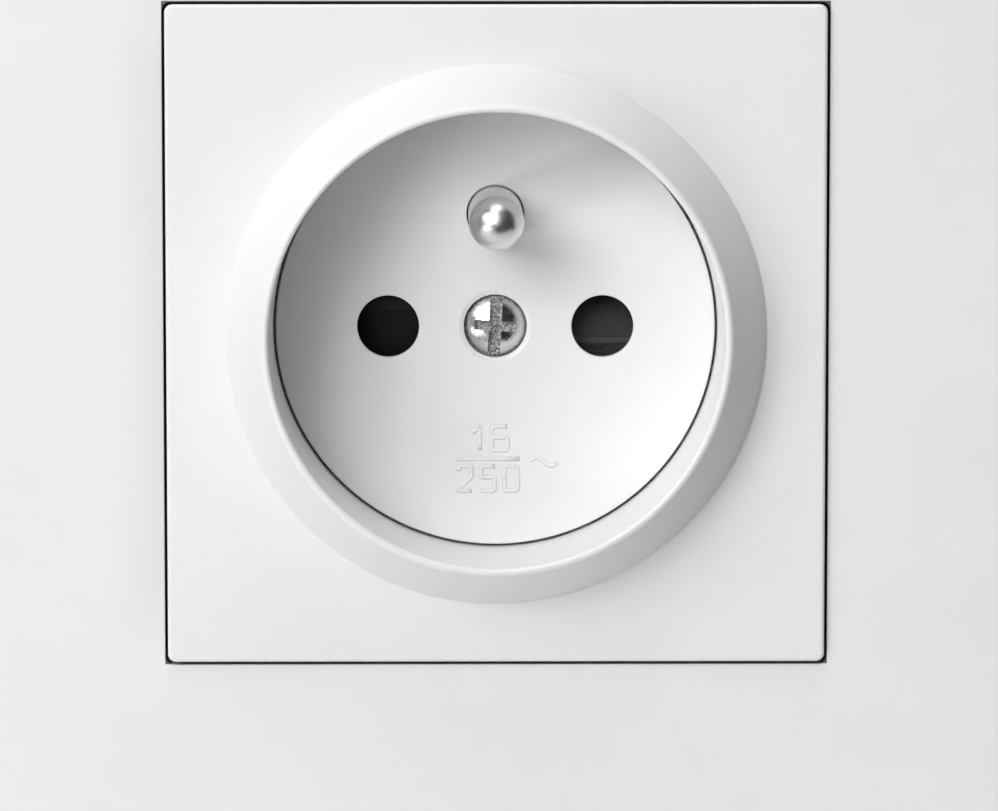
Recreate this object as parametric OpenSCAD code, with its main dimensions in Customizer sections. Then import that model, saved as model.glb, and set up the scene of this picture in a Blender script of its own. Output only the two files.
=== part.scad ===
// Single flush wall socket with an earth pin, a centre screw and rotary shutters.
// Every module is drawn with X to the right, Y up and Z out of the wall, with the
// wall at Z = 0 and the socket's axis at X = Y = 0. The module mounted() then turns
// it, so that the finished part has Z up and its front faces -Y.

/* [Frame] */
// Width and height of the square frame
frame_w = 90; // [86:0.5:96]
// Wall thickness of the frame
frame_wall = 2; // [1.6:0.1:2.2]
// Radius of the frame's corners, seen from the front
frame_corner_r = 2; // [1:0.5:4]
// Radius along the frame's front edges
frame_edge_r = 0.8; // [0.4:0.1:1]
// How far the frame hangs down in its clearance round the plate
frame_sag = 0.08; // [0:0.02:0.12]

/* [Centre plate] */
// Width and height of the centre plate
plate_w = 57.5; // [56.5:0.5:59]
// Height of the centre plate's face above the wall
plate_front = 8.7; // [8.3:0.1:9.5]
// Step from the frame's face up to the plate's face
plate_step = 0.8; // [0.4:0.1:1]
// Gap between the plate's edge and the frame
plate_gap = 0.25; // [0.2:0.05:0.35]
// Thickness of the plate's skin
plate_skin = 1.8; // [1.5:0.1:2.2]
// Thickness of the plate's rim, which rests on the frame's ledge
rim_t = 2.5; // [2.3:0.1:2.7]
// Radius of the plate's corners, seen from the front
plate_corner_r = 0.7; // [0.4:0.1:1.2]
// Radius along the plate's front edges
plate_edge_r = 0.3; // [0.2:0.05:0.4]

/* [Collar and well] */
// Depth of the well, from the collar's crest to the floor
well_depth = 15; // [14:0.5:16]
// Radius inside the well
well_r = 19.7; // [19.5:0.05:20]
// Wall thickness of the well behind the plate
well_wall = 1.3; // [1.1:0.1:1.4]
// Radius of the collar where it rises from the plate
collar_base_r = 23.6; // [23.2:0.1:24.6]
// Radius of the lip's inner edge
lip_in_r = 0.3; // [0.2:0.1:0.6]
// Radius of the lip's outer edge
lip_out_r = 0.5; // [0.3:0.1:0.8]
// How far the ring that carries the floor disc reaches inwards
seat_ring_w = 1.4; // [1.2:0.1:1.6]

/* [Floor disc] */
// Gap round the floor disc
disc_gap = 0.25; // [0.15:0.05:0.35]
// Thickness of the floor disc
disc_t = 2.2; // [2:0.1:2.6]
// Distance between the two contact holes
hole_pitch = 19; // [18.8:0.1:19.2]
// Radius of a contact hole
hole_r = 2.75; // [2.6:0.05:2.85]
// Depth of the shutter's chamber behind the disc
chamber_h = 2.7; // [2.5:0.1:3.2]
// Thickness of the plate that closes the chamber
retainer_t = 1.1; // [1:0.1:1.4]

/* [Earth pin] */
// Radius of the earth pin
pin_r = 2.4; // [2.35:0.05:2.4]
// Length of the earth pin in front of the floor
pin_len = 14; // [12.5:0.5:14]
// Height of the earth pin above the line of the contact holes
pin_offset = 10; // [9.8:0.1:10.4]
// Gap round the earth pin in the floor disc
pin_gap = 0.15; // [0.1:0.05:0.2]

/* [Shutter] */
// Angle that the shutter turns through
shutter_turn = 40; // [38:1:42]
// Half height of a shutter blade
blade_half = 3.4; // [3.2:0.1:3.5]
// Reach of a shutter blade from the axis
blade_reach = 13.4; // [12.8:0.1:13.8]
// Running gap between the shutter and its hub
hub_gap = 0.08; // [0.05:0.01:0.1]
// Radius of the spring's wire
spring_wire_r = 0.22; // [0.18:0.02:0.26]

/* [Screws] */
// Radius of the centre screw's thread
centre_thread_r = 1.5; // [1.4:0.05:1.55]
// Radius of the centre screw's head
centre_head_r = 2.65; // [2.5:0.05:2.7]
// Length of the centre screw's shank
centre_shank = 14; // [12:0.5:15]
// Radius of a terminal screw's thread
terminal_thread_r = 1.75; // [1.6:0.05:1.8]
// Radius of a terminal screw's head
terminal_head_r = 3.1; // [2.8:0.1:3.2]
// Length of a terminal screw's shank
terminal_shank = 8; // [6:0.5:9]
// Radius of a claw screw's thread
claw_thread_r = 1.5; // [1.4:0.05:1.5]
// Length of a claw screw's shank
claw_shank = 17; // [12:0.5:20]

/* [Base] */
// Depth of the base behind the wall's face
base_depth = 24; // [23:0.5:28]
// Width of the base between its flat sides
base_w = 33.6; // [33.2:0.2:34]
// Height of the base between its flat ends
base_h = 48; // [47.5:0.5:50]
// Radius of the base's barrel
barrel_r = 26; // [25.5:0.5:26.5]
// Radius of the base's flange
flange_r = 27; // [26.5:0.5:28]
// Thickness of the base's flange
flange_t = 3; // [2.4:0.2:3.2]
// Radius of a wire entry
wire_r = 1.7; // [1.5:0.1:1.8]

/* [Contacts] */
// Thickness of the brass strip
strip_t = 1.2; // [1:0.1:1.3]
// Radius inside a sprung contact at rest
grip_r = 2.3; // [2.2:0.05:2.35]
// Wall of a sprung contact
grip_wall = 0.8; // [0.6:0.1:0.9]
// Height of the terminal screws below the contact holes
terminal_drop = 11.8; // [11.6:0.1:12]
// Distance from the earth pin up to its terminal screw
earth_rise = 6.5; // [6.3:0.1:6.8]

/* [Mounting plate and claws] */
// Width and height of the steel mounting plate
steel_w = 70; // [69:0.5:72]
// Thickness of the mounting plate
steel_t = 1.2; // [1:0.1:1.4]
// Distance between opposite fixing slots
fixing_pitch = 60; // [59.5:0.5:60.5]
// Width of a fixing slot
slot_w = 3.6; // [3.4:0.1:4]
// Length of a fixing slot
slot_len = 7; // [6.5:0.5:7.5]
// Distance of the claw screws from the axis, sideways
claw_x = 21.5; // [21.3:0.1:21.8]
// Distance of the claw screws from the axis, up or down
claw_y = 11; // [10.6:0.2:11.4]
// Width of a claw
claw_w = 7; // [6:0.5:7.5]
// Thickness of a claw
claw_t = 1.3; // [1.1:0.1:1.4]
// Length of a claw's leg
claw_leg = 15.5; // [13:0.5:16]

/* [Hidden] */
$fn = 96;
eps = 0.01;
fit_gap = 0.02;

// Levels along Z, from the front to the back
crest_z = well_depth;
frame_front = plate_front - plate_step;
ledge_z = plate_front - rim_t;
ledge_t = 2;
disc_back_z = -disc_t;
chamber_back_z = disc_back_z - chamber_h;
cassette_back_z = chamber_back_z - retainer_t;
seat_ring_t = 1.2;
well_back_z = disc_back_z - seat_ring_t;
terminal_head_h = 2.1;
screw_slot_w = 0.8;
screw_slot_depth = 0.9;
retainer_gap = 0.3;
clamp_front_z = cassette_back_z - retainer_gap - terminal_head_h;
clamp_back_z = clamp_front_z - strip_t;
strip_back_z = clamp_back_z - strip_t;

// Radii and places on the floor disc
hole_x = hole_pitch / 2;
disc_r = well_r - disc_gap;
well_out_r = well_r + well_wall;
seat_ring_r = well_r - seat_ring_w;
cassette_r = seat_ring_r - 0.3;
cassette_wall = 1.4;
pin_hole_r = pin_r + pin_gap;
hole_lip_t = 0.8;
hole_recess_r = hole_r + 0.3;
head_gap = 0.15;
head_seat_z = -1.7;
head_bore_r = centre_head_r + head_gap;
head_chamfer_w = 0.4;
head_chamfer_t = 0.2;
slot_lean = -3;
boss_r = 3.4;
boss_bore_r = centre_thread_r + 0.15;

// Cassette screws, clear of both blades over the shutter's whole turn
cassette_screw_at = 13.3;
cassette_screw_angle = 47;
cassette_boss_r = 2;
cassette_thread_r = 0.8;
cassette_head_r = 1.5;
cassette_head_h = 0.7;

// Shutter
shutter_gap = 0.2;
blade_drop = 0.5;
shutter_front_z = disc_back_z - shutter_gap;
blade_front_z = shutter_front_z - blade_drop;
shutter_back_z = chamber_back_z + shutter_gap;
hub_r = 6;
blade_in_x = 4.6;
ledge_y = -1.25;
ledge_drop = 0.35;
blade_edge_t = 0.5;
fixed_leg_angle = -140;
moving_leg_angle = -90;
coil_turns = 2 + (moving_leg_angle - fixed_leg_angle) / 360;
coil_pitch = 2 * spring_wire_r + 0.04;
coil_r = boss_r + 0.25 + spring_wire_r;
coil_back_z = shutter_back_z + spring_wire_r + 0.05;
coil_front_z = coil_back_z + coil_pitch * coil_turns;
spring_room_r = 4.5;
spring_room_z = coil_front_z + spring_wire_r + 0.08;
leg_reach = 8.4;
leg_gap = 0.05;
lug_w = 1.2;
lug_back_z = shutter_back_z + 0.1;
lug_front_z = shutter_front_z - 0.3;
post_r = 0.7;
post_at = 7.9;
stop_w = 1.2;

// Base
pocket_gap = 0.4;
pocket_r = well_out_r + pocket_gap;
shoulder_r = pocket_r + 1.6;
shoulder_back_z = cassette_back_z - 1.4;
room_gap = 0.3;
cassette_pocket_r = cassette_r + room_gap;
shank_room = 1;
grip_floor_t = 1;
foot_w = 7.2;
foot_end = 3.4;
grip_room = 1.1;
grip_front_z = cassette_back_z - 1.2;
grip_back_z = -base_depth + 4;
grip_flare = 0.6;
nut_r = 2.6;
nut_len = 6;
wire_z = clamp_back_z + 0.5;

// Earth strap
earth_y = pin_offset + earth_rise;
strap_w = 7.6;
strap_end = 3.9;
strap_low_y = pin_offset - 3.2;
arm_x = 7;
arm_w = 2.5;
arm_h = 3;
tongue_gap = 0.05;
arm_y = pocket_r - 0.5;
tenon_r = 1.5;
rivet_head_r = 2.3;
rivet_head_h = 0.9;

// Mounting plate, rivets and claws
steel_chamfer = 6;
steel_hole_r = pocket_r;
rivet_r = 1.5;
rivet_end_r = 1.6;
rivet_at = pocket_r + rivet_head_r + 0.54;
rivet_angle = 23;
rivet_x = rivet_at * cos(rivet_angle);
rivet_y = rivet_at * sin(rivet_angle);
claw_head_r = 2.7;
claw_head_h = 1.9;
bead_r = 1;
bead_gap = 0.08;
pivot_x = base_w / 2 + 0.1;
pivot_z = cassette_back_z - bead_r - 0.4;
claw_out_x = claw_x + 3.9;
notch_gap = 0.7;
tooth_h = 1.2;
tooth_pitch = 1.8;
tooth_count = 3;

// Points of an arc in a profile
function arc(cx, cy, r, from, to, steps) = [
    for (i = [0 : steps])
        let (a = from + (to - from) * i / steps)
        [cx + r * cos(a), cy + r * sin(a)]
];

// Turns a piece drawn with Z out of the wall into the part's own frame
module mounted() {
    rotate([90, 0, 0]) children();
}

// Copies a piece to the two opposite places, half a turn apart
module both_ways() {
    children();
    rotate([0, 0, 180]) children();
}

// Square outline with round corners
module round_square(w, r) {
    square([w - 2 * r, w], center = true);
    square([w, w - 2 * r], center = true);
    for (x = [-1, 1], y = [-1, 1]) {
        translate([x * (w / 2 - r), y * (w / 2 - r)]) circle(r);
    }
}

// Square slab from z0 to z1 whose front edges are rounded all round
module round_slab(w, z0, z1, corner_r, edge_r) {
    inner = w / 2 - corner_r;
    translate([0, 0, z0]) linear_extrude(z1 - edge_r - z0) round_square(w, corner_r);
    translate([0, 0, z0]) linear_extrude(z1 - z0) round_square(w - 2 * edge_r, corner_r - edge_r);
    for (q = [0 : 3]) {
        rotate([0, 0, 90 * q]) {
            translate([-inner, w / 2 - edge_r, z1 - edge_r])
                rotate([0, 90, 0]) cylinder(r = edge_r, h = 2 * inner, $fn = 32);
            translate([inner, inner, z1 - edge_r])
                rotate_extrude(angle = 90)
                    translate([corner_r - edge_r, 0]) intersection() {
                        circle(edge_r, $fn = 32);
                        translate([0, -edge_r]) square(2 * edge_r);
                    }
        }
    }
}

// Straight slot with round ends along X, from z0 to z1
module slot(len, w, z0, z1) {
    translate([0, 0, z0]) linear_extrude(z1 - z0) {
        square([len - w, w], center = true);
        for (x = [-1, 1]) translate([x * (len - w) / 2, 0]) circle(w / 2);
    }
}

// Box from one corner to the opposite one
module block(low, high) {
    translate(low) cube(high - low);
}

// Tube swept along a list of points, closed at both ends
module wire(points, r, sides) {
    last = len(points) - 1;
    rings = [
        for (i = [0 : last])
            let (
                ahead = points[min(i + 1, last)] - points[max(i - 1, 0)],
                t = ahead / norm(ahead),
                across = cross([0.05, 0.03, 1], t),
                u = across / norm(across),
                v = cross(t, u)
            )
            for (k = [0 : sides - 1])
                points[i] + r * cos(360 * k / sides) * u + r * sin(360 * k / sides) * v
    ];
    walls = [
        for (i = [0 : last - 1], k = [0 : sides - 1])
            let (n = (k + 1) % sides)
            [i * sides + k, (i + 1) * sides + k, (i + 1) * sides + n, i * sides + n]
    ];
    first_end = [for (k = [0 : sides - 1]) k];
    last_end = [for (k = [sides - 1 : -1 : 0]) last * sides + k];
    polyhedron(rings, concat(walls, [first_end, last_end]), convexity = 6);
}

// Outer frame: a hollow shell with a ledge that carries the centre plate
module cover_frame() {
    opening_w = plate_w + 2 * plate_gap;
    ledge_in_w = plate_w - 3.5;
    ledge_out_w = opening_w + 3;
    post_w = opening_w + 2.8;
    hollow_w = frame_w - 2 * frame_wall;
    rib_t = 1.2;
    rib_back_z = 2.5;
    screw_room = 11;
    groove_w = 0.6;
    groove_depth = 1.4;
    color("white") translate([0, -frame_sag, 0]) difference() {
        union() {
            difference() {
                round_slab(frame_w, 0, frame_front, frame_corner_r, frame_edge_r);
                translate([0, 0, -1]) linear_extrude(frame_front - frame_wall + 1)
                    square(hollow_w, center = true);
            }
            translate([0, 0, ledge_z - ledge_t]) linear_extrude(ledge_t)
                square(ledge_out_w, center = true);
            translate([0, 0, steel_t]) linear_extrude(ledge_z - ledge_t - steel_t)
                square(post_w, center = true);
            for (q = [0 : 3]) {
                rotate([0, 0, 90 * q]) for (s = [-1, 1]) {
                    block([post_w / 2 - 1, s * 14 - rib_t / 2, rib_back_z],
                          [hollow_w / 2 + 1, s * 14 + rib_t / 2, frame_front - 1]);
                }
            }
        }
        translate([0, 0, ledge_z]) linear_extrude(frame_front) round_square(opening_w, plate_corner_r);
        translate([0, 0, ledge_z - groove_depth]) linear_extrude(groove_depth + 0.5) difference() {
            square(opening_w, center = true);
            square(opening_w - 2 * groove_w, center = true);
        }
        translate([0, 0, -1]) linear_extrude(frame_front) square(ledge_in_w, center = true);
        translate([0, 0, -1]) linear_extrude(ledge_z - ledge_t + 1) square(opening_w, center = true);
        for (q = [0 : 3]) {
            rotate([0, 0, 90 * q])
                block([opening_w / 2 - 1, -screw_room / 2, 0],
                      [post_w / 2 + 0.5, screw_room / 2, ledge_z - ledge_t]);
        }
    }
}

// Section of the collar, the well's wall and the ring that carries the floor disc
function well_section() =
    let (
        lip_x = well_r + lip_in_r,
        out_z = crest_z - lip_out_r,
        run = [collar_base_r - lip_x, plate_front - out_z],
        toward = atan2(run[1], run[0]),
        meet = toward + acos(lip_out_r / norm(run))
    )
    concat(
        [
            [seat_ring_r, well_back_z],
            [well_out_r, well_back_z],
            [well_out_r, plate_front - plate_skin],
            [collar_base_r, plate_front - plate_skin],
            [collar_base_r, plate_front]
        ],
        arc(lip_x, out_z, lip_out_r, meet, 90, 12),
        arc(lip_x, crest_z - lip_in_r, lip_in_r, 100, 180, 8),
        [
            [well_r, disc_back_z],
            [seat_ring_r, disc_back_z]
        ]
    );

// Square cover with the raised collar and the well's wall in one moulding
module centre_plate() {
    rim_w = 1.3;
    rib_t = 1.2;
    rib_back_z = plate_front - plate_skin - 3.2;
    rib_end = plate_w / 2 - 2.6;
    color("white") {
        difference() {
            union() {
                round_slab(plate_w, plate_front - plate_skin, plate_front, plate_corner_r, plate_edge_r);
                translate([0, 0, ledge_z]) linear_extrude(rim_t - 1) difference() {
                    round_square(plate_w, plate_corner_r);
                    square(plate_w - 2 * rim_w, center = true);
                }
                for (q = [0 : 3]) {
                    rotate([0, 0, 90 * q])
                        block([well_r + 0.4, -rib_t / 2, rib_back_z], [rib_end, rib_t / 2, plate_front - 1]);
                }
            }
            translate([0, 0, -well_depth]) cylinder(r = well_r + 0.3, h = 3 * well_depth, $fn = 180);
        }
        rotate_extrude($fn = 180) polygon(well_section());
    }
}

// Floor disc with the contact holes, the screw's counterbore and the cassette's wall
module socket_insert() {
    color("whitesmoke") difference() {
        union() {
            translate([0, 0, disc_back_z]) cylinder(r = disc_r, h = disc_t, $fn = 180);
            translate([0, 0, chamber_back_z]) difference() {
                cylinder(r = cassette_r, h = chamber_h + eps, $fn = 120);
                translate([0, 0, -1]) cylinder(r = cassette_r - cassette_wall, h = chamber_h + 2, $fn = 120);
            }
            translate([0, 0, cassette_back_z]) cylinder(r = boss_r, h = -cassette_back_z - 1);
            both_ways() {
                rotate([0, 0, cassette_screw_angle]) translate([cassette_screw_at, 0, chamber_back_z])
                    cylinder(r = cassette_boss_r, h = chamber_h + eps, $fn = 48);
                rotate([0, 0, cassette_screw_angle])
                    block([cassette_screw_at, -1, chamber_back_z], [cassette_r - 0.5, 1, disc_back_z + eps]);
                stops();
            }
        }
        translate([0, 0, head_seat_z]) cylinder(r = head_bore_r, h = 5);
        rotate_extrude() polygon([
            [0, -head_chamfer_t],
            [head_bore_r, -head_chamfer_t],
            [head_bore_r + 2 * head_chamfer_w, head_chamfer_t],
            [0, head_chamfer_t]
        ]);
        translate([0, 0, cassette_back_z - 1]) cylinder(r = boss_bore_r, h = 20);
        translate([0, pin_offset, disc_back_z - 1]) cylinder(r = pin_hole_r, h = 5);
        both_ways() {
            translate([hole_x, 0, disc_back_z - 1]) cylinder(r = hole_r, h = 5);
            translate([hole_x, 0, disc_back_z - 1]) cylinder(r = hole_recess_r, h = 1 + disc_t - hole_lip_t);
            rotate([0, 0, cassette_screw_angle]) translate([cassette_screw_at, 0, chamber_back_z - 1])
                cylinder(r = cassette_thread_r + fit_gap, h = chamber_h + 1.5, $fn = 32);
        }
    }
}

// Two stops for one blade, at rest and at the end of its turn
module stops() {
    stop_x = blade_reach - 2.2;
    rest_y = blade_half + 0.1;
    block([stop_x, rest_y, chamber_back_z], [cassette_r - 2.2, rest_y + stop_w, disc_back_z + eps]);
    rotate([0, 0, -shutter_turn - 0.6])
        block([stop_x, -rest_y - stop_w, chamber_back_z],
              [cassette_r - 0.9, -rest_y, disc_back_z + eps]);
}

// Rotary shutter with a ramped blade behind each contact hole
module shutter() {
    edge_z = shutter_back_z + blade_edge_t;
    ramp = [
        [-blade_half, shutter_back_z],
        [blade_half, shutter_back_z],
        [blade_half, edge_z],
        [ledge_y, blade_front_z - ledge_drop],
        [ledge_y, blade_front_z],
        [-blade_half, blade_front_z]
    ];
    color("dimgray") difference() {
        union() {
            translate([0, 0, shutter_back_z]) cylinder(r = hub_r, h = shutter_front_z - shutter_back_z);
            both_ways()
                translate([blade_in_x, 0, 0]) rotate([90, 0, 90])
                    linear_extrude(blade_reach - blade_in_x) polygon(ramp);
            rotate([0, 0, moving_leg_angle])
                block([hub_r - 1, spring_wire_r + leg_gap, lug_back_z],
                      [leg_reach, spring_wire_r + leg_gap + lug_w, lug_front_z]);
        }
        translate([0, 0, shutter_back_z - 1]) cylinder(r = boss_r + hub_gap, h = chamber_h + 2);
        translate([0, 0, shutter_back_z - 1])
            cylinder(r = spring_room_r, h = spring_room_z - shutter_back_z + 1);
        leg_window();
    }
}

// Window in the shutter's hub that the spring's legs come out of
module leg_window() {
    from = fixed_leg_angle - 8;
    to = moving_leg_angle + 5;
    rotate([0, 0, from]) translate([0, 0, shutter_back_z - 1])
        rotate_extrude(angle = to - from) translate([spring_room_r - 0.5, 0])
            square([hub_r - spring_room_r + 1.5, spring_room_z - shutter_back_z + 1]);
}

// Torsion spring round the boss: one leg on the retainer's post, one on the shutter
module shutter_spring() {
    steps = 44;
    coil = [
        for (i = [0 : steps])
            let (a = fixed_leg_angle + 360 * coil_turns * i / steps)
            [coil_r * cos(a), coil_r * sin(a), coil_back_z + coil_pitch * coil_turns * i / steps]
    ];
    path = concat(
        [[leg_reach * cos(fixed_leg_angle), leg_reach * sin(fixed_leg_angle), coil_back_z]],
        coil,
        [[leg_reach * cos(moving_leg_angle), leg_reach * sin(moving_leg_angle), coil_front_z]]
    );
    color("lightsteelblue") wire(path, spring_wire_r, 8);
}

// Plate that closes the shutter's chamber, with the post for the spring
module shutter_retainer() {
    color("gainsboro") difference() {
        union() {
            translate([0, 0, cassette_back_z]) cylinder(r = cassette_r, h = retainer_t, $fn = 120);
            rotate([0, 0, fixed_leg_angle])
                translate([post_at, -spring_wire_r - leg_gap - post_r, cassette_back_z])
                    cylinder(r = post_r, h = spring_room_z - cassette_back_z, $fn = 32);
        }
        translate([0, 0, cassette_back_z - 1]) cylinder(r = boss_r + 0.1, h = 5);
        translate([0, pin_offset, cassette_back_z - 1]) cylinder(r = pin_r + 0.2, h = 5);
        both_ways() {
            translate([hole_x, 0, cassette_back_z - 1]) cylinder(r = hole_r + 0.15, h = 5);
            rotate([0, 0, cassette_screw_angle]) translate([cassette_screw_at, 0, 0]) {
                translate([0, 0, cassette_back_z - 1]) cylinder(r = cassette_thread_r + 0.1, h = 5, $fn = 32);
                translate([0, 0, cassette_back_z - 1])
                    cylinder(r = cassette_head_r + 0.1, h = 1 + cassette_head_h, $fn = 32);
            }
        }
    }
}

// Two small screws that close the cassette from behind
module retainer_screws() {
    color("silver") both_ways()
        rotate([0, 0, cassette_screw_angle]) translate([cassette_screw_at, 0, cassette_back_z]) {
            difference() {
                cylinder(r = cassette_head_r, h = cassette_head_h, $fn = 32);
                cube([2 * cassette_head_r + 1, 0.4, 0.6], center = true);
            }
            cylinder(r = cassette_thread_r, h = retainer_t + chamber_h, $fn = 32);
        }
}

// Screw with a flat seat at z = 0, a head of a given height and a shank behind it
module screw(thread_r, head_r, head_h, shank) {
    difference() {
        union() {
            cylinder(r = head_r, h = head_h, $fn = 48);
            translate([0, 0, -shank]) cylinder(r = thread_r, h = shank + eps, $fn = 48);
        }
        translate([0, 0, head_h])
            cube([2 * head_r + 1, screw_slot_w, 2 * screw_slot_depth], center = true);
    }
}

// Centre screw with a domed head, a full slot and a cross recess
module centre_screw() {
    top_z = -0.05;
    side_h = 0.85;
    dome_h = top_z - head_seat_z - side_h;
    dome_r = (centre_head_r * centre_head_r + dome_h * dome_h) / (2 * dome_h);
    sweep = asin(centre_head_r / dome_r);
    slot_width = 1.1;
    cross_len = 3.7;
    cross_width = 0.9;
    color("silver") difference() {
        union() {
            translate([0, 0, head_seat_z]) rotate_extrude()
                polygon(concat(
                    [[0, 0], [centre_head_r, 0]],
                    arc(0, side_h + dome_h - dome_r, dome_r, 90 - sweep, 90, 10)
                ));
            translate([0, 0, head_seat_z - centre_shank]) cylinder(r = centre_thread_r, h = centre_shank + eps);
        }
        rotate([0, 0, slot_lean]) {
            block([-slot_width / 2, -centre_head_r - 1, top_z - 0.8], [slot_width / 2, centre_head_r + 1, 1]);
            block([-cross_len / 2, -cross_width / 2, top_z - 1], [cross_len / 2, cross_width / 2, 1]);
        }
    }
}

// Threaded brass bush that takes the centre screw
module centre_nut() {
    color("gold") translate([0, 0, cassette_back_z - retainer_gap - nut_len]) difference() {
        cylinder(r = nut_r, h = nut_len);
        translate([0, 0, -1]) cylinder(r = centre_thread_r + fit_gap, h = nut_len + 2);
    }
}

// Earth pin with a round end, a relief at the floor and a riveted tenon
module earth_pin() {
    relief_r = pin_r - 0.2;
    relief_front_z = 0.2;
    relief_back_z = disc_back_z - shutter_gap;
    color("silver") translate([0, pin_offset, 0]) {
        translate([0, 0, relief_front_z]) cylinder(r = pin_r, h = pin_len - pin_r - relief_front_z);
        translate([0, 0, pin_len - pin_r]) rotate_extrude()
            polygon(concat([[0, 0]], arc(0, 0, pin_r, 0, 90, 24)));
        translate([0, 0, relief_back_z - eps]) cylinder(r = relief_r, h = relief_front_z - relief_back_z + 2 * eps);
        translate([0, 0, clamp_back_z]) cylinder(r = pin_r, h = relief_back_z - clamp_back_z);
        translate([0, 0, strip_back_z - eps]) cylinder(r = tenon_r, h = strip_t + 2 * eps);
        translate([0, 0, strip_back_z - rivet_head_h]) cylinder(r = rivet_head_r, h = rivet_head_h);
    }
}

// Brass strap from the earth pin to its terminal, staked into the mounting plate
module earth_strap() {
    high_y = earth_y + strap_end;
    color("gold") difference() {
        union() {
            block([-strap_w / 2, strap_low_y, strip_back_z], [strap_w / 2, high_y, clamp_back_z]);
            for (s = [-1, 1]) mirror([s < 0 ? 1 : 0, 0, 0]) {
                block([0, high_y - arm_h, strip_back_z], [arm_x + arm_w, high_y, clamp_back_z]);
                block([arm_x, high_y - arm_h, strip_back_z], [arm_x + arm_w, arm_y + strip_t, clamp_back_z]);
                block([arm_x, arm_y, strip_back_z], [arm_x + arm_w, arm_y + strip_t, steel_t]);
            }
        }
        translate([0, pin_offset, strip_back_z - 1]) cylinder(r = tenon_r + fit_gap, h = strip_t + 2);
        translate([0, earth_y, strip_back_z - 1]) cylinder(r = terminal_thread_r + fit_gap, h = strip_t + 2);
    }
}

// Square clamp washer with one lip turned forward, for a screw at its centre
module clamp() {
    lip_t = 0.9;
    half = foot_w / 2;
    difference() {
        union() {
            block([-half, -half, clamp_back_z], [half, half, clamp_front_z]);
            block([-half, half - lip_t, clamp_back_z], [half, half, clamp_front_z + 1]);
        }
        translate([0, 0, clamp_back_z - 1]) cylinder(r = terminal_thread_r + 0.1, h = strip_t + 3);
        translate([0, 0, clamp_front_z]) cylinder(r = terminal_head_r + 0.2, h = 3);
    }
}

module terminal_screw() {
    translate([0, 0, clamp_front_z])
        screw(terminal_thread_r, terminal_head_r, terminal_head_h, terminal_shank);
}

module earth_clamp() {
    color("silver") translate([0, earth_y, 0]) rotate([0, 0, 180]) clamp();
}

module earth_screw() {
    color("silver") translate([0, earth_y, 0]) terminal_screw();
}

// Sprung contact for one pin, with a foot that carries its terminal
module contact() {
    grip_out_r = grip_r + grip_wall;
    half_sweep = 65;
    section = [
        [grip_r, grip_back_z],
        [grip_out_r, grip_back_z],
        [grip_out_r, grip_front_z - 1.6],
        [grip_out_r + grip_flare, grip_front_z],
        [grip_r + grip_flare, grip_front_z],
        [grip_r, grip_front_z - 1.4]
    ];
    color("gold") difference() {
        union() {
            for (middle = [90, 270]) {
                rotate([0, 0, middle - half_sweep]) rotate_extrude(angle = 2 * half_sweep) polygon(section);
            }
            translate([0, 0, grip_back_z - grip_floor_t]) cylinder(r = grip_out_r, h = grip_floor_t + eps);
            block([-foot_w / 2, -terminal_drop - foot_end, strip_back_z],
                  [foot_w / 2, -grip_out_r + 0.3, clamp_back_z]);
        }
        translate([0, -terminal_drop, strip_back_z - 1])
            cylinder(r = terminal_thread_r + fit_gap, h = strip_t + 2);
    }
}

module line_contact() {
    translate([hole_x, 0, 0]) contact();
}

module neutral_contact() {
    translate([-hole_x, 0, 0]) contact();
}

// Steel rings that press the leaves of both contacts together
module contact_clips() {
    ring_in_r = grip_r + grip_wall + 0.04;
    ring_t = 0.45;
    ring_h = 4;
    ring_z = grip_back_z + (strip_back_z - grip_back_z - ring_h) / 2;
    opening = 46;
    color("lightsteelblue") for (s = [-1, 1]) {
        translate([s * hole_x, 0, ring_z]) rotate([0, 0, opening / 2 + (s < 0 ? 180 : 0)])
            rotate_extrude(angle = 360 - opening) translate([ring_in_r, 0]) square([ring_t, ring_h]);
    }
}

module line_clamp() {
    color("silver") translate([hole_x, -terminal_drop, 0]) clamp();
}

module neutral_clamp() {
    color("silver") translate([-hole_x, -terminal_drop, 0]) clamp();
}

module line_screw() {
    color("silver") translate([hole_x, -terminal_drop, 0]) terminal_screw();
}

module neutral_screw() {
    color("silver") translate([-hole_x, -terminal_drop, 0]) terminal_screw();
}

// Moulded base: pockets for the well and the cassette, chambers for the contacts
module base_body() {
    color("darkgray") difference() {
        union() {
            translate([0, 0, -flange_t]) cylinder(r = flange_r, h = flange_t, $fn = 120);
            translate([0, 0, shoulder_back_z]) cylinder(r = shoulder_r, h = -shoulder_back_z, $fn = 120);
            intersection() {
                translate([0, 0, -base_depth]) cylinder(r = barrel_r, h = base_depth, $fn = 120);
                block([-base_w / 2, -base_h / 2, -base_depth], [base_w / 2, base_h / 2, 0]);
            }
        }
        translate([0, 0, well_back_z]) cylinder(r = pocket_r, h = 20, $fn = 120);
        translate([0, 0, cassette_back_z]) cylinder(r = cassette_pocket_r, h = 20, $fn = 120);
        terminal_rooms();
        earth_room();
        translate([0, 0, cassette_back_z - retainer_gap - nut_len]) cylinder(r = nut_r + fit_gap, h = 20);
        translate([0, 0, head_seat_z - centre_shank - shank_room])
            cylinder(r = centre_thread_r + room_gap, h = centre_shank);
        both_ways() {
            claw_room();
            translate([rivet_x, rivet_y, -flange_t - 1]) cylinder(r = rivet_r + fit_gap, h = flange_t + 2, $fn = 48);
            translate([rivet_x, rivet_y, -base_depth])
                cylinder(r = rivet_head_r + room_gap, h = base_depth - flange_t, $fn = 48);
        }
    }
}

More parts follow.
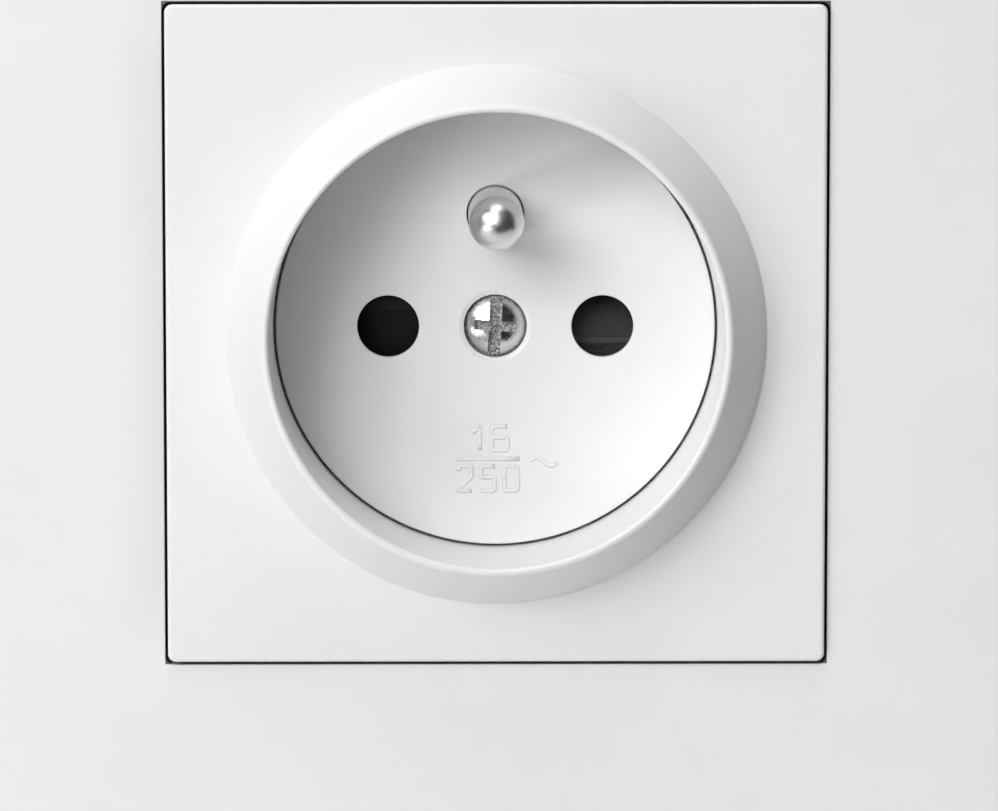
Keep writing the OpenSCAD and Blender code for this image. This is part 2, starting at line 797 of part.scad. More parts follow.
// Rooms for the line and neutral contacts, with their wire entries at the bottom
module terminal_rooms() {
    half = foot_w / 2 + room_gap;
    end_y = terminal_drop + foot_end + room_gap;
    for (s = [-1, 1]) translate([s * hole_x, 0, 0]) {
        translate([0, 0, grip_back_z - grip_floor_t])
            cylinder(r = grip_r + grip_wall + grip_room, h = base_depth);
        block([-half, -end_y, strip_back_z], [half, 0, 5]);
        translate([0, -terminal_drop, clamp_front_z - terminal_shank - shank_room])
            cylinder(r = terminal_thread_r + room_gap, h = terminal_shank, $fn = 48);
        translate([0, -end_y + 1, wire_z]) rotate([90, 0, 0]) cylinder(r = wire_r, h = base_h, $fn = 48);
    }
}

// Room for the earth strap, with its wire entry at the top
module earth_room() {
    half = strap_w / 2 + room_gap;
    high_y = earth_y + strap_end + room_gap;
    arm_low_y = high_y - arm_h - 2 * room_gap;
    block([-half, strap_low_y - room_gap, strip_back_z], [half, high_y, 5]);
    for (s = [-1, 1]) mirror([s < 0 ? 1 : 0, 0, 0]) {
        block([0, arm_low_y, strip_back_z], [arm_x + arm_w + room_gap, high_y, 5]);
        block([arm_x - room_gap, arm_low_y, strip_back_z],
              [arm_x + arm_w + room_gap, arm_y + strip_t + 0.2, 5]);
    }
    translate([0, pin_offset, strip_back_z - rivet_head_h - room_gap])
        cylinder(r = rivet_head_r + room_gap, h = 5, $fn = 48);
    translate([0, earth_y, clamp_front_z - terminal_shank - shank_room])
        cylinder(r = terminal_thread_r + room_gap, h = terminal_shank, $fn = 48);
    translate([0, high_y - 1, wire_z]) rotate([-90, 0, 0]) cylinder(r = wire_r, h = base_h, $fn = 48);
}

// Notch for one claw in the flange and shoulder, with a round seat for its bead
module claw_room() {
    half = claw_w / 2 + notch_gap;
    block([base_w / 2, -claw_y - half, -base_depth - 1], [flange_r + 1, -claw_y + half, 5]);
    translate([pivot_x, -claw_y + claw_w / 2 + 0.3, pivot_z]) rotate([90, 0, 0])
        cylinder(r = bead_r + bead_gap, h = claw_w + 0.6, $fn = 48);
}

// Zinc-plated steel plate with four fixing slots
module mounting_plate() {
    color("lightslategray") difference() {
        linear_extrude(steel_t) difference() {
            square(steel_w, center = true);
            circle(steel_hole_r, $fn = 120);
            for (q = [0 : 3]) {
                rotate([0, 0, 90 * q]) translate([steel_w / 2, steel_w / 2])
                    rotate([0, 0, 45]) square(steel_chamfer * sqrt(2), center = true);
            }
        }
        for (q = [0 : 3]) {
            rotate([0, 0, 90 * q]) translate([fixing_pitch / 2, 0, 0]) slot(slot_len, slot_w, -1, steel_t + 1);
        }
        both_ways() {
            translate([claw_x, -claw_y, -1]) cylinder(r = claw_thread_r + 0.15, h = steel_t + 2, $fn = 48);
            translate([rivet_x, rivet_y, -1]) cylinder(r = rivet_r + fit_gap, h = steel_t + 2, $fn = 48);
        }
        for (s = [-1, 1]) mirror([s < 0 ? 1 : 0, 0, 0])
            block([arm_x - tongue_gap, arm_y - tongue_gap, -1],
                  [arm_x + arm_w + tongue_gap, arm_y + strip_t + tongue_gap, steel_t + 1]);
    }
}

// Rivets that hold the base to the mounting plate
module base_rivets() {
    color("silver") both_ways() translate([rivet_x, rivet_y, 0]) rotate_extrude($fn = 48) polygon([
        [0, -flange_t - rivet_head_h],
        [rivet_end_r, -flange_t - rivet_head_h],
        [rivet_head_r, -flange_t],
        [rivet_r, -flange_t],
        [rivet_r, steel_t],
        [rivet_head_r, steel_t],
        [rivet_end_r, steel_t + rivet_head_h],
        [0, steel_t + rivet_head_h]
    ]);
}

// Claw that pivots on its bead and spreads when its screw pulls it forward
module claw() {
    back_z = pivot_z - claw_leg;
    teeth = [
        for (i = [0 : tooth_count - 1])
            let (z = back_z + tooth_pitch * i)
            [[claw_out_x - 0.2, z], [claw_out_x + tooth_h, z], [claw_out_x - 0.2, z + tooth_pitch]]
    ];
    color("lightsteelblue") translate([0, -claw_y, 0]) difference() {
        union() {
            translate([pivot_x, claw_w / 2, pivot_z]) rotate([90, 0, 0]) cylinder(r = bead_r, h = claw_w, $fn = 48);
            block([pivot_x, -claw_w / 2, pivot_z - claw_t / 2], [claw_out_x, claw_w / 2, pivot_z + claw_t / 2]);
            block([claw_out_x - claw_t, -claw_w / 2, back_z], [claw_out_x, claw_w / 2, pivot_z + claw_t / 2]);
            for (t = teeth) {
                translate([0, claw_w / 2, 0]) rotate([90, 0, 0]) linear_extrude(claw_w) polygon(t);
            }
        }
        translate([claw_x + 0.25, 0, 0]) slot(4.4, 2 * claw_thread_r + 0.3, pivot_z - 2, pivot_z + 2);
    }
}

module claw_right() {
    claw();
}

module claw_left() {
    rotate([0, 0, 180]) claw();
}

module claw_screw() {
    translate([claw_x, -claw_y, steel_t])
        screw(claw_thread_r, claw_head_r, claw_head_h, claw_shank + steel_t);
}

module claw_screw_right() {
    color("silver") claw_screw();
}

module claw_screw_left() {
    color("silver") rotate([0, 0, 180]) claw_screw();
}

mounted() cover_frame();
mounted() centre_plate();
mounted() socket_insert();
mounted() shutter();
mounted() shutter_spring();
mounted() shutter_retainer();
mounted() retainer_screws();
mounted() centre_screw();
mounted() centre_nut();
mounted() earth_pin();
mounted() earth_strap();
mounted() earth_clamp();
mounted() earth_screw();
mounted() line_contact();
mounted() neutral_contact();
mounted() contact_clips();
mounted() line_clamp();
mounted() neutral_clamp();
mounted() line_screw();
mounted() neutral_screw();
mounted() base_body();
mounted() mounting_plate();
mounted() base_rivets();
mounted() claw_left();
mounted() claw_right();
mounted() claw_screw_left();
mounted() claw_screw_right();
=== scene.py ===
import math

import bmesh
import bpy
from mathutils import Matrix, Vector


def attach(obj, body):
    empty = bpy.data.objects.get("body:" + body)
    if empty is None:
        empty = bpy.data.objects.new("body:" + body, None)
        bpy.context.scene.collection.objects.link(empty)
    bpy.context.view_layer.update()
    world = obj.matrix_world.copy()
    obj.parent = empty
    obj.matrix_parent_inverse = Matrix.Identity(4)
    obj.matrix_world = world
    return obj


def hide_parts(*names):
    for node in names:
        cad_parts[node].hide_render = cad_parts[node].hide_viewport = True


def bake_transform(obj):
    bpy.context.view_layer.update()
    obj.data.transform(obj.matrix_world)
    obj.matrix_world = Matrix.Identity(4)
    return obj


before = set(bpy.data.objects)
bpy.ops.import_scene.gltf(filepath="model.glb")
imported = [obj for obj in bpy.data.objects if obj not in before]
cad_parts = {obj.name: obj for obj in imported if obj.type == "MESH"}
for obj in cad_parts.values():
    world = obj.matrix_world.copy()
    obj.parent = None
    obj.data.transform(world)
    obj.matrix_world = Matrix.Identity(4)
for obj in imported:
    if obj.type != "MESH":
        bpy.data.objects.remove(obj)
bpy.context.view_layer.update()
MM = 0.001

# Sizes in millimetres: X to the right, Y up and Z out of the wall, from the middle of the well's
# floor. The screws' threads are given by their depth behind it.

EDGE_SOFTNESS = 0.2
FADE = 0.05
OPENING_HALF = 29.02
PLATE_HALF = 28.75
PLATE_SHADE_FADE = (8.1, 8.4)
SINK_WIDTH = 4.5
SINK_DEPTH = 0.5
SINK_FADE = (22.0, 30.0)
BLADE_FACE = (-3.3, -3.2)
LEDGE_TOP = (1.2, 1.3)
LEDGE_FOOT = (1.6, 1.85)
RECESS_MOUTH = (-0.8, -0.7)
FLOOR_FACE = 0.0
RATING_RISE = 0.07
STROKE_R = 0.2
CLAW_SCREW_AT = (21.5, 11.0)
CLAW_SHANK_R = 1.5
CLAW_THREAD_FROM = 0.4
CLAW_THREAD_TO = 16.6
THREAD_PITCH = 0.6
THREAD_HEIGHT = 0.16
THREAD_SINK = 0.06


# Shader maths: a socket that takes plain sums, and a tree whose nodes come from one method


class Wire:
    """One output in a node tree. Sums on it add their Math nodes."""

    def __init__(self, owner, socket):
        self.owner = owner
        self.socket = socket

    def joined(self, operation, first, second=0.0):
        return self.owner.node("ShaderNodeMath", {"operation": operation}, {0: first, 1: second})

    def size(self):
        return self.joined("ABSOLUTE", self)

    def highest(self, other):
        return self.joined("MAXIMUM", self, other)

    def __add__(self, other):
        return self.joined("ADD", self, other)

    def __radd__(self, other):
        return self.joined("ADD", other, self)

    def __sub__(self, other):
        return self.joined("SUBTRACT", self, other)

    def __rsub__(self, other):
        return self.joined("SUBTRACT", other, self)

    def __mul__(self, other):
        return self.joined("MULTIPLY", self, other)

    def __rmul__(self, other):
        return self.joined("MULTIPLY", other, self)


class NodeTree:
    """A material's or a world's tree."""

    def __init__(self, holder):
        holder.use_nodes = True
        self.tree = holder.node_tree

    def feed(self, socket, value):
        if isinstance(value, Wire):
            self.tree.links.new(value.socket, socket)
        else:
            socket.default_value = value

    def node(self, kind, settings=None, inputs=None, output=0):
        made = self.tree.nodes.new(kind)
        for key, value in (settings or {}).items():
            setattr(made, key, value)
        for key, value in (inputs or {}).items():
            self.feed(made.inputs[key], value)
        return Wire(self, made.outputs[output])

    def band(self, amount, low, high):
        """amount from low to high, spread over 0 to 1."""
        return self.node(
            "ShaderNodeMapRange",
            {"clamp": True},
            {"Value": amount, "From Min": low, "From Max": high},
        )


class Finish(NodeTree):
    """A procedural material on the piece's own place, with constants on the shader's sockets."""

    def __init__(self, name, **constants):
        self.material = bpy.data.materials.new(name)
        super().__init__(self.material)
        self.surface = self.tree.nodes["Principled BSDF"]
        self.place = self.node("ShaderNodeTexCoord", output="Object")
        for socket, value in constants.items():
            self.set(socket.replace("_", " "), value)

    def set(self, socket, value):
        self.feed(self.surface.inputs[socket], value)

    def axes(self):
        """The piece's place as X to the right, Y up and Z out of the wall, in millimetres."""
        split = self.node("ShaderNodeSeparateXYZ", None, {0: self.place})
        across, into, up = (Wire(self, socket) for socket in split.socket.node.outputs)
        return across * (1 / MM), up * (1 / MM), into * (-1 / MM)

    def noise(self, size_mm, detail=2.0, rough=0.5, place=None):
        """Soft grain whose lumps are about size_mm across, from 0 to 1."""
        return self.node(
            "ShaderNodeTexNoise",
            {"noise_dimensions": "3D"},
            {
                "Vector": place or self.place,
                "Scale": 1 / (size_mm * MM),
                "Detail": detail,
                "Roughness": rough,
            },
            "Fac",
        )

    def stretched(self, x=1.0, y=1.0, z=1.0):
        """The piece's place, drawn out along an axis whose factor is small."""
        return self.node(
            "ShaderNodeMapping",
            {"vector_type": "POINT"},
            {"Vector": self.place, "Scale": (x, y, z)},
        )

    def tint(self, amount, first, second):
        """The first colour where amount is 0 and the second where it is 1."""
        return self.node(
            "ShaderNodeMix", {"data_type": "RGBA"}, {0: amount, 6: first, 7: second}, 2
        )

    def relief(self, height, depth_mm, under=None):
        """A bump of depth_mm between the height's 0 and 1, laid over the bump under it."""
        inputs = {"Height": height, "Distance": depth_mm * MM, "Strength": 1.0}
        if under:
            inputs["Normal"] = under
        return self.node("ShaderNodeBump", None, inputs)


def rgb(red, green, blue):
    return (red, green, blue, 1.0)


def grey(value, warm=0.0):
    return rgb(value * (1 + warm), value, value * (1 - warm))


# Finishes

# Painted shade: the dark grey laid into the gap between the frame and the plate.
GAP_SHADE = grey(0.12)


def moulded_white(name, white, rough, warm, marks=None):
    """Thermoset cover plastic: slow drift of shade, faint flow marks and a fine moulded grain."""
    finish = Finish(name, IOR=1.5, Specular_IOR_Level=0.5)
    drift = finish.noise(14.0, detail=1.0)
    flow = finish.noise(2.2, detail=3.0, rough=0.6)
    grain = finish.noise(0.22, rough=0.6)
    shade = finish.band(drift * 0.6 + flow * 0.25 + grain * 0.15, 0.35, 0.65)
    colour = finish.tint(shade, grey(white * 0.985, warm), grey(white * 1.01, warm * 0.6))
    edges = finish.node("ShaderNodeBevel", {"samples": 6}, {"Radius": EDGE_SOFTNESS * MM})
    skin = finish.relief(drift, 0.02, edges)
    if marks:
        colour, skin = marks(finish, colour, skin)
    finish.set("Base Color", colour)
    finish.set("Roughness", rough - 0.03 + finish.band(flow, 0.3, 0.7) * 0.04 + grain * 0.03)
    finish.set("Normal", finish.relief(grain, 0.0012, finish.relief(flow, 0.003, skin)))
    return finish.material


def frame_marks(finish, colour, skin):
    """Painted shade in the gap round the plate, which also darkens the opening's corners, and the
    shallow sink where the left bar is thickest.
    """
    across, up, _ = finish.axes()
    reach = across.size().highest(up.size())
    # Painted shade: the frame's walls and corners inside the opening are painted dark grey.
    gap = 1.0 - finish.band(reach, OPENING_HALF, OPENING_HALF + FADE)
    fall = finish.band(across, -OPENING_HALF - SINK_WIDTH, -OPENING_HALF)
    middle = 1.0 - finish.band(up.size(), *SINK_FADE)
    on_bar = 1.0 - finish.band(across, -OPENING_HALF, -OPENING_HALF + 2 * FADE)
    sink = 1.0 - fall * fall * middle * on_bar
    return finish.tint(gap, colour, GAP_SHADE), finish.relief(sink, SINK_DEPTH, skin)


def plate_marks(finish, colour, skin):
    """Painted shade on the plate's edges, down in the gap."""
    across, up, out = finish.axes()
    reach = across.size().highest(up.size())
    edge = finish.band(reach, PLATE_HALF - 2 * FADE, PLATE_HALF - FADE)
    # Painted shade: the plate's sides below its face are painted dark grey.
    gap = edge * (1.0 - finish.band(out, *PLATE_SHADE_FADE))
    return finish.tint(gap, colour, GAP_SHADE), skin


def base_moulding(name):
    """Dark grey moulding: paler mineral flecks under a satin skin."""
    finish = Finish(name, IOR=1.5)
    cloud = finish.noise(3.0)
    flecks = finish.band(finish.noise(0.35, rough=0.7), 0.62, 0.75)
    base = finish.tint(cloud, rgb(0.18, 0.189, 0.207), rgb(0.22, 0.231, 0.253))
    finish.set("Base Color", finish.tint(flecks * 0.6, base, rgb(0.36, 0.377, 0.411)))
    finish.set("Roughness", 0.45 + finish.band(cloud, 0.3, 0.7) * 0.08 - flecks * 0.05)
    grain = finish.noise(0.18, rough=0.6)
    finish.set("Normal", finish.relief(grain, 0.004, finish.relief(cloud, 0.01)))
    return finish.material


def shutter_black(name):
    """Near-black moulding with painted light: the right blade is mottled paler than the left, as
    if lit, with a painted highlight strip along its ledge.
    """
    finish = Finish(name, IOR=1.5, Specular_IOR_Level=0.35)
    across, up, out = finish.axes()
    # Painted light: the right blade, where light falls, is painted paler than the left one, which
    # lies in shade.
    right = finish.band(across, -1.0, 1.0)
    down = 0.0 - up
    # Painted highlight: a paler strip along the right blade's ledge, where light falls on the
    # ramp.
    painted_light_strip = finish.band(down, *LEDGE_TOP) * (1.0 - finish.band(down, *LEDGE_FOOT))
    painted_light_strip = painted_light_strip * right * finish.band(out, *BLADE_FACE)
    cloud = finish.band(finish.noise(0.5, detail=3.0, rough=0.6), 0.35, 0.65)
    mottle_and_painted_light = cloud * (right * 0.85 + 0.15)
    base = finish.tint(mottle_and_painted_light, rgb(0.003, 0.003, 0.0032), rgb(0.022, 0.022, 0.0225))
    finish.set("Base Color", finish.tint(painted_light_strip, base, rgb(0.06, 0.06, 0.061)))
    finish.set("Roughness", 0.4 + cloud * 0.12 - painted_light_strip * 0.08)
    grain = finish.noise(0.12, rough=0.6)
    finish.set("Normal", finish.relief(grain, 0.003, finish.relief(cloud, 0.006)))
    return finish.material


def nickel_plate(name):
    """Satin plating: slow waves, hairlines from polishing and a little haze."""
    finish = Finish(name, Metallic=1.0)
    haze = finish.noise(1.2, detail=3.0, rough=0.6)
    hair = finish.noise(0.1, rough=0.6, place=finish.stretched(y=0.08))
    finish.set("Base Color", finish.tint(haze, rgb(0.76, 0.745, 0.72), rgb(0.83, 0.82, 0.8)))
    finish.set("Roughness", 0.27 + finish.band(haze, 0.35, 0.75) * 0.07 + hair * 0.05)
    finish.set("Normal", finish.relief(hair, 0.0015, finish.relief(haze, 0.012)))
    return finish.material


def nickel_screw(name):
    """Plating on a struck head: dents, tool marks, and dull broken metal down in the recess."""
    finish = Finish(name, Metallic=1.0)
    _, _, out = finish.axes()
    deep = 1.0 - finish.band(out, *RECESS_MOUTH)
    dents = finish.noise(0.5, detail=3.0, rough=0.6)
    broken = finish.noise(0.22, detail=3.0, rough=0.7)
    torn = finish.band(broken, 0.35, 0.65)
    worn = finish.tint(torn, rgb(0.1, 0.098, 0.096), rgb(0.66, 0.65, 0.64))
    plated = finish.tint(dents, rgb(0.7, 0.69, 0.67), rgb(0.84, 0.83, 0.81))
    finish.set("Base Color", finish.tint(deep, plated, worn))
    finish.set("Roughness", 0.15 + finish.band(dents, 0.4, 0.7) * 0.1 + deep * 0.12)
    marks = broken * (deep * 0.8 + 0.2)
    finish.set("Normal", finish.relief(marks, 0.05, finish.relief(dents, 0.015)))
    return finish.material


def zinc_plate(name):
    """Zinc plating on steel: fine crystals, a bluish and yellowish cast, and duller patches."""
    finish = Finish(name, Metallic=1.0)
    crystals = finish.node(
        "ShaderNodeTexVoronoi",
        {"feature": "F1"},
        {"Vector": finish.place, "Scale": 1 / (0.7 * MM), "Randomness": 1.0},
        "Distance",
    )
    patch = finish.noise(5.0, detail=3.0, rough=0.6)
    fine = finish.noise(0.15, detail=3.0, rough=0.7)
    cool = finish.tint(crystals, rgb(0.66, 0.69, 0.73), rgb(0.74, 0.76, 0.78))
    cast = finish.band(patch, 0.52, 0.75) * 0.35
    finish.set("Base Color", finish.tint(cast, cool, rgb(0.74, 0.71, 0.6)))
    finish.set("Roughness", 0.27 + finish.band(patch, 0.3, 0.7) * 0.14 + crystals * 0.06)
    finish.set("Normal", finish.relief(fine, 0.003, finish.relief(crystals, 0.002)))
    return finish.material


def drawn_steel(name):
    """Spring steel: drawing lines and a faint straw cast."""
    finish = Finish(name, Metallic=1.0)
    lines = finish.noise(0.06, rough=0.6, place=finish.stretched(x=0.1))
    patch = finish.noise(1.5)
    finish.set("Base Color", finish.tint(patch, rgb(0.56, 0.57, 0.59), rgb(0.66, 0.65, 0.62)))
    finish.set("Roughness", 0.2 + lines * 0.12)
    finish.set("Normal", finish.relief(lines, 0.002))
    return finish.material


def stamped_brass(name):
    """Rolled brass: rolling lines, a slow tarnish that browns, and small pits."""
    finish = Finish(name, Metallic=1.0)
    tarnish = finish.noise(3.5, detail=4.0, rough=0.6)
    rolled = finish.noise(0.12, rough=0.6, place=finish.stretched(z=0.06))
    pits = finish.band(finish.noise(0.25, detail=1.0), 0.7, 0.8)
    bright = finish.tint(rolled, rgb(0.78, 0.6, 0.29), rgb(0.85, 0.68, 0.36))
    brown = finish.band(tarnish, 0.45, 0.8)
    finish.set("Base Color", finish.tint(brown, bright, rgb(0.55, 0.38, 0.17)))
    finish.set("Roughness", 0.24 + finish.band(tarnish, 0.35, 0.75) * 0.2 + pits * 0.1)
    finish.set("Normal", finish.relief(rolled, 0.0015, finish.relief(1.0 - pits, 0.004)))
    return finish.material


FINISHES = {
    "white_cover": moulded_white("cover white", 0.85, 0.3, 0.004, plate_marks),
    "white_insert": moulded_white("floor white", 0.85, 0.36, 0.004),
    "shutter_plastic": shutter_black("shutter black"),
    "retainer_plastic": moulded_white("retainer white", 0.72, 0.45, 0.012),
    "nickel": nickel_plate("nickel"),
    "spring_steel": drawn_steel("spring steel"),
    "zinc_steel": zinc_plate("zinc"),
    "brass": stamped_brass("brass"),
    "base_plastic": base_moulding("base grey"),
}
OWN_FINISHES = {
    "cover_frame": moulded_white("frame white", 0.85, 0.3, 0.004, frame_marks),
    "centre_screw": nickel_screw("screw nickel"),
}
SLOT_PIECES = {
    "white_cover": ["cover_frame", "centre_plate"],
    "white_insert": ["socket_insert"],
    "shutter_plastic": ["shutter"],
    "retainer_plastic": ["shutter_retainer"],
    "nickel": ["centre_screw", "earth_pin"],
    "spring_steel": ["shutter_spring", "contact_clips"],
    "zinc_steel": [
        "retainer_screws", "earth_clamp", "earth_screw", "line_clamp", "line_screw",
        "neutral_clamp", "neutral_screw", "mounting_plate", "base_rivets", "claw_left",
        "claw_right", "claw_screw_left", "claw_screw_right",
    ],
    "brass": ["centre_nut", "earth_strap", "line_contact", "neutral_contact"],
    "base_plastic": ["base_body"],
}


def dress(piece, material):
    piece.data.materials.clear()
    piece.data.materials.append(material)


for slot, names in SLOT_PIECES.items():
    for name in names:
        dress(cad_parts[name], OWN_FINISHES.get(name, FINISHES[slot]))


# Pieces that only the scene has


def made_piece(name, shape, slot):
    """Makes a piece of a bmesh that is already in the part's own frame, in metres."""
    bmesh.ops.recalc_face_normals(shape, faces=shape.faces)
    mesh = bpy.data.meshes.new(name)
    shape.to_mesh(mesh)
    shape.free()
    piece = bpy.data.objects.new(name, mesh)
    bpy.context.scene.collection.objects.link(piece)
    dress(piece, FINISHES[slot])
    return piece


def socket_piece(name, shape, slot):
    """Makes a piece of a bmesh drawn in millimetres with Z out of the wall."""
    bmesh.ops.remove_doubles(shape, verts=shape.verts, dist=0.0005)
    shape.transform(Matrix.Rotation(math.radians(90), 4, "X") @ Matrix.Scale(MM, 4))
    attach(made_piece(name, shape, slot), "socket")


# Each figure's centre line, in a box from -1 to 1, then its place and half size on the floor

FIGURE_LINES = {
    "1": [(-0.9, 0.45), (-0.2, 0.75), (0.2, 1.0), (0.2, 0.9), (0.2, -1.0)],
    "6": [
        (0.95, 1.0), (-0.5, 1.0), (-1.0, 1.0), (-1.0, 0.5), (-1.0, -0.5), (-1.0, -1.0),
        (-0.4, -1.0), (0.4, -1.0), (1.0, -1.0), (1.0, -0.5), (1.0, 0.05), (0.4, 0.05),
        (-0.9, 0.05),
    ],
    "2": [
        (-1.0, 0.6), (-1.0, 1.0), (-0.3, 1.0), (0.3, 1.0), (1.0, 1.0), (1.0, 0.45),
        (1.0, 0.1), (-0.6, -0.7), (-1.0, -0.95), (-0.95, -1.0), (-0.6, -1.0), (1.0, -1.0),
    ],
    "5": [
        (1.0, 1.0), (-0.85, 1.0), (-1.0, 1.0), (-1.0, 0.85), (-1.0, 0.25), (-1.0, 0.1),
        (-0.85, 0.1), (0.3, 0.1), (1.0, 0.1), (1.0, -0.4), (1.0, -1.0), (0.3, -1.0),
        (-1.0, -1.0),
    ],
    "0": [
        (-1.0, 0.0), (-1.0, 0.6), (-1.0, 1.0), (0.0, 1.0), (1.0, 1.0), (1.0, 0.6),
        (1.0, -0.6), (1.0, -1.0), (0.0, -1.0), (-1.0, -1.0), (-1.0, -0.6), (-1.0, 0.0),
    ],
    "wave": [
        (-1.0, 0.2), (-0.75, 1.0), (-0.35, 1.0), (0.0, 0.0), (0.35, -1.0), (0.75, -1.0),
        (1.0, -0.2),
    ],
    "bar": [(-1.0, 0.0), (1.0, 0.0)],
}
RATING = [
    ("1", (-1.5, -10.0), (0.65, 1.05)),
    ("6", (0.4, -10.0), (0.7, 1.05)),
    ("bar", (-0.65, -11.85), (2.8, 0.0)),
    ("2", (-2.7, -13.6), (0.6, 1.1)),
    ("5", (-0.65, -13.6), (0.6, 1.1)),
    ("0", (1.4, -13.6), (0.6, 1.1)),
    ("wave", (4.3, -12.1), (1.2, 0.35)),
]


def add_stroke(shape, line, centre, half):
    """Adds a figure's centre line to the shape as a low ridge that rises from the floor."""
    curve = bpy.data.curves.new("stroke", "CURVE")
    curve.dimensions = "3D"
    curve.bevel_depth = STROKE_R
    curve.bevel_resolution = 3
    curve.use_fill_caps = True
    spline = curve.splines.new("NURBS")
    spline.points.add(len(line) - 1)
    for point, (x, y) in zip(spline.points, line):
        point.co = (centre[0] + half[0] * x, centre[1] + half[1] * y, 0, 1)
    spline.order_u = min(3, len(line))
    spline.use_endpoint_u = True
    spline.resolution_u = 5
    holder = bpy.data.objects.new("stroke", curve)
    bpy.context.scene.collection.objects.link(holder)
    bpy.context.view_layer.update()
    drawn = holder.evaluated_get(bpy.context.evaluated_depsgraph_get())
    mesh = bpy.data.meshes.new_from_object(drawn)
    bpy.data.objects.remove(holder)
    flat = Matrix.Scale(RATING_RISE / STROKE_R, 4, (0, 0, 1))
    mesh.transform(Matrix.Translation((0, 0, FLOOR_FACE)) @ flat)
    shape.from_mesh(mesh)
    bpy.data.meshes.remove(mesh)


def rating_figures():
    """The raised rating on the floor: 16 over 250, and the mark for alternating current."""
    shape = bmesh.new()
    for figure, centre, half in RATING:
        add_stroke(shape, FIGURE_LINES[figure], centre, half)
    socket_piece("rating_figures", shape, "white_insert")


def claw_thread(name, side):
    """The thread on one claw screw: a ridge's profile, swept round the shank."""
    root = CLAW_SHANK_R - THREAD_SINK
    crest = CLAW_SHANK_R + THREAD_HEIGHT
    length = CLAW_THREAD_TO - CLAW_THREAD_FROM
    turns = length / THREAD_PITCH
    steps = int(turns * 24)
    shape = bmesh.new()
    profile = [
        shape.verts.new((r, 0, THREAD_PITCH * part - CLAW_THREAD_TO))
        for r, part in ((root, 0.0), (crest, 0.3), (crest, 0.4), (root, 0.7))
    ]
    face = shape.faces.new(profile)
    bmesh.ops.spin(
        shape,
        geom=[face, *face.edges, *face.verts],
        cent=(0, 0, 0),
        axis=(0, 0, 1),
        dvec=(0, 0, length / steps),
        angle=math.tau * turns,
        steps=steps,
        use_duplicate=False,
    )
    across, up = CLAW_SCREW_AT
    bmesh.ops.translate(shape, vec=(side * across, -side * up, 0), verts=shape.verts)
    socket_piece(name, shape, "zinc_steel")


def wound_spring():
    """The shutter's spring as a piece of its own, copied from the part's mesh, with the part
    hidden.
    """
    shape = bmesh.new()
    shape.from_mesh(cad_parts["shutter_spring"].data)
    bmesh.ops.remove_doubles(shape, verts=shape.verts, dist=1e-6)
    piece = made_piece("wound_spring", shape, "spring_steel")
    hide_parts("shutter_spring")
    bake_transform(piece)


rating_figures()
claw_thread("claw_thread_right", 1)
claw_thread("claw_thread_left", -1)
wound_spring()


# Floor, lights and camera, in metres and watts

FLOOR_SIZE = 0.6
FLOOR_MIDDLE = (0, 0.3, -0.25)
TENT_R = 1.6
TENT_BACK = (0, 0.1, 0)
LAMPS = {
    "high left": ((-0.385, -0.79, 0.308), 0.4, 0.4, 3.1),
    "mid left": ((-0.6, -0.6, 0.4), 0.4, 0.4, 1.55),
    "upper": ((-0.15, -0.62, 0.68), 0.4, 0.4, 1.1),
    "top": ((0.0, -0.2, 0.9), 0.5, 0.5, 2.7),
    "low left": ((-0.5, -0.55, -0.2), 0.3, 0.12, 1.0),
    "low": ((-0.15, -0.4, -0.2), 0.22, 0.1, 0.05),
    "near": ((-0.15, -0.9, 0.3), 0.5, 0.5, 1.5),
    "behind right": ((0.5, 0.75, 0.2), 0.5, 0.5, 3.8),
    "behind left": ((-0.6, 0.6, 0.1), 0.4, 0.4, 2.2),
}
ROOM_LIGHT = 0.3
BACKDROP = grey(0.9)
CAMERA_AT = Vector((-0.0045, -0.486, 0.044))
CAMERA_AIM = Vector((0.00024, -0.0087, -0.00616))


def staged(name, shape, dark, pale):
    """Makes a piece of the stage, in a soft grey between the two shades."""
    mesh = bpy.data.meshes.new(name)
    shape.to_mesh(mesh)
    shape.free()
    item = bpy.data.objects.new(name, mesh)
    bpy.context.scene.collection.objects.link(item)
    finish = Finish(name, Roughness=0.8)
    finish.set("Base Color", finish.tint(finish.noise(40.0), grey(dark), grey(pale)))
    mesh.materials.append(finish.material)
    return item


def stage_floor():
    shape = bmesh.new()
    bmesh.ops.create_grid(shape, x_segments=1, y_segments=1, size=FLOOR_SIZE)
    bmesh.ops.translate(shape, vec=FLOOR_MIDDLE, verts=shape.verts)
    staged("floor", shape, 0.78, 0.8)


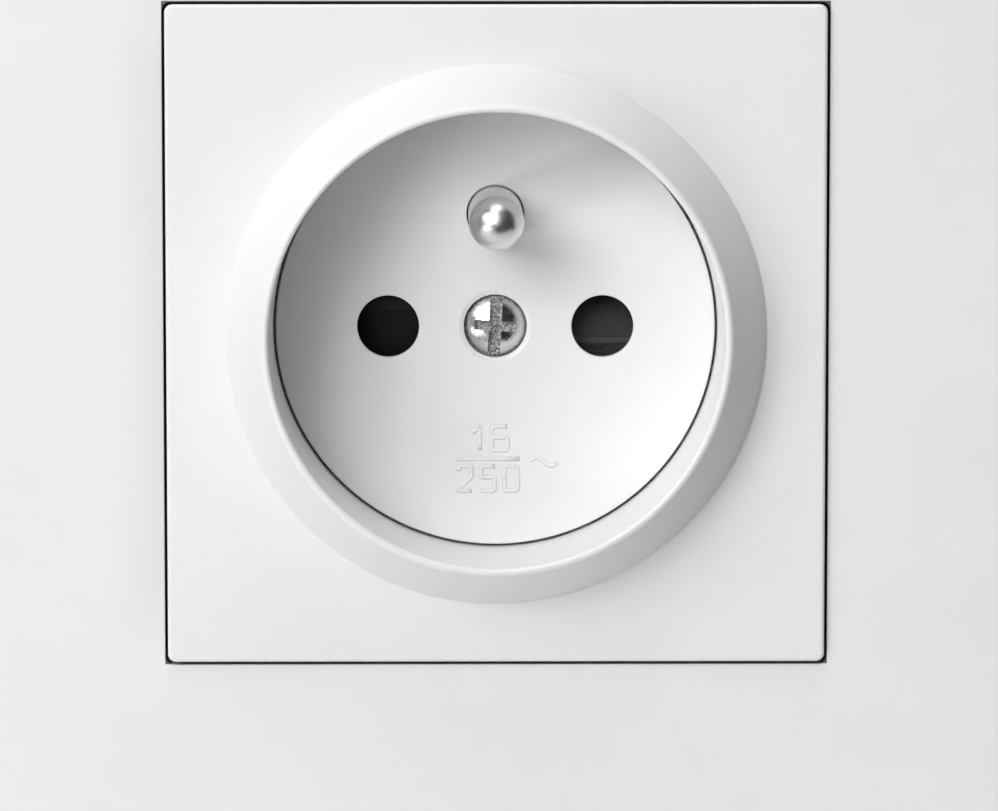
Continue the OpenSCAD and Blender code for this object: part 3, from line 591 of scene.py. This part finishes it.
def dark_tent():
    """A dark half shell round the front, as the photo's metal reflects a dark room there."""
    shape = bmesh.new()
    bmesh.ops.create_uvsphere(shape, u_segments=32, v_segments=16, radius=TENT_R)
    bmesh.ops.bisect_plane(
        shape,
        geom=[*shape.verts, *shape.edges, *shape.faces],
        plane_co=TENT_BACK,
        plane_no=(0, 1, 0),
        clear_outer=True,
    )
    staged("dark_tent", shape, 0.015, 0.025).visible_camera = False


def facing(holder, place, aim):
    """Puts a lamp or camera at its place, turned to the point that it looks at."""
    holder.location = place
    holder.rotation_euler = (aim - place).to_track_quat("-Z", "Y").to_euler()
    bpy.context.scene.collection.objects.link(holder)


def softbox(name, place, width, height, watts):
    lamp = bpy.data.lights.new(name, "AREA")
    lamp.shape = "RECTANGLE"
    lamp.size = width
    lamp.size_y = height
    lamp.energy = watts
    holder = bpy.data.objects.new(name, lamp)
    holder.visible_camera = False
    facing(holder, Vector(place), Vector())


def room_light():
    """Soft light behind the wall, and a pale backdrop that the camera, metal and glass see."""
    world = bpy.data.worlds.new("room")
    bpy.context.scene.world = world
    room = NodeTree(world)
    way = room.node("ShaderNodeTexCoord", output="Generated")
    behind = room.node(
        "ShaderNodeVectorMath", {"operation": "DOT_PRODUCT"}, {0: way, 1: (0, 1, 0)}, "Value"
    )
    camera_ray, glossy_ray, through_ray = (
        room.node("ShaderNodeLightPath", output=f"Is {ray} Ray")
        for ray in ("Camera", "Glossy", "Transmission")
    )
    lit = room.node(
        "ShaderNodeBackground",
        None,
        {"Color": room.band(behind, 0.0, 0.5), "Strength": ROOM_LIGHT},
    )
    backdrop = room.node("ShaderNodeBackground", None, {"Color": BACKDROP})
    seen = camera_ray + glossy_ray + through_ray
    chosen = room.node("ShaderNodeMixShader", None, {0: seen, 1: lit, 2: backdrop})
    room.feed(room.tree.nodes["World Output"].inputs["Surface"], chosen)


def camera():
    view = bpy.data.cameras.new("view")
    view.sensor_width = 36.0
    view.lens = 198.5
    view.clip_start = 0.01
    holder = bpy.data.objects.new("view", view)
    facing(holder, CAMERA_AT, CAMERA_AIM)
    bpy.context.scene.camera = holder


stage_floor()
dark_tent()
room_light()
for name, (place, width, height, watts) in LAMPS.items():
    softbox(name, place, width, height, watts)
camera()
bpy.context.scene.view_settings.view_transform = "Standard"
